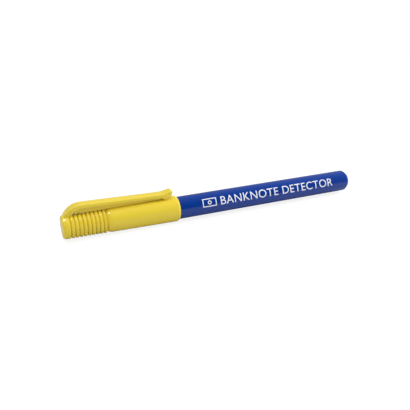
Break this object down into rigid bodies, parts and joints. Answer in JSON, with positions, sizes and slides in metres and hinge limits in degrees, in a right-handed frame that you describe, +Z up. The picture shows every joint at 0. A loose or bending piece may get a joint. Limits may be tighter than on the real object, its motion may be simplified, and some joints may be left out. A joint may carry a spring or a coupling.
{
  "type": "counterfeit detector pen",
  "caption": "Capped banknote detector pen: round barrel with fibre nib and ink reservoir, ribbed cap with sprung pocket clip.",
  "frame": {"origin": "on the surface the pen lies on, under the middle of its length and of its width", "axes": "+X along the pen from the closed end of the cap to the rear plug, +Z up through the pocket clip"},
  "size_m": [0.14, 0.0116, 0.0149],
  "materials": {
    "cap_plastic": "moulded yellow polypropylene, satin gloss",
    "barrel_plastic": "moulded royal blue polypropylene, satin gloss",
    "section_plastic": "moulded royal blue polypropylene",
    "liner_plastic": "natural low-density polyethylene",
    "nib_fibre": "bonded polyester fibre stained with iodine ink",
    "reservoir_fibre": "polyester fibre soaked with iodine ink",
    "film": "clear polypropylene film"
  },
  "bodies": {
    "barrel": {"barrel_tube": "barrel_plastic", "end_plug": "barrel_plastic", "grip_section": "section_plastic", "nib": "nib_fibre", "ink_reservoir": "reservoir_fibre", "reservoir_film": "film"},
    "seal_liner": {"cap_liner": "liner_plastic"},
    "cap": {"cap_shell": "cap_plastic"},
    "clip": {"pocket_clip": "cap_plastic"}
  },
  "joints": [
    {"name": "cap_pull", "type": "slide", "parent": "barrel", "child": "seal_liner", "axis": [-1, 0, 0], "range_m": [0, 0.035]},
    {"name": "cap_turn", "type": "hinge", "parent": "seal_liner", "child": "cap", "pos_m": [-0.045, 0, 0.00575], "axis": [1, 0, 0], "continuous": true},
    {"name": "clip_flex", "type": "hinge", "parent": "cap", "child": "clip", "pos_m": [-0.0665, 0, 0.0118], "axis": [0, -1, 0], "range_deg": [0, 4], "stiffness_Nm_per_rad": 1.2}
  ]
}
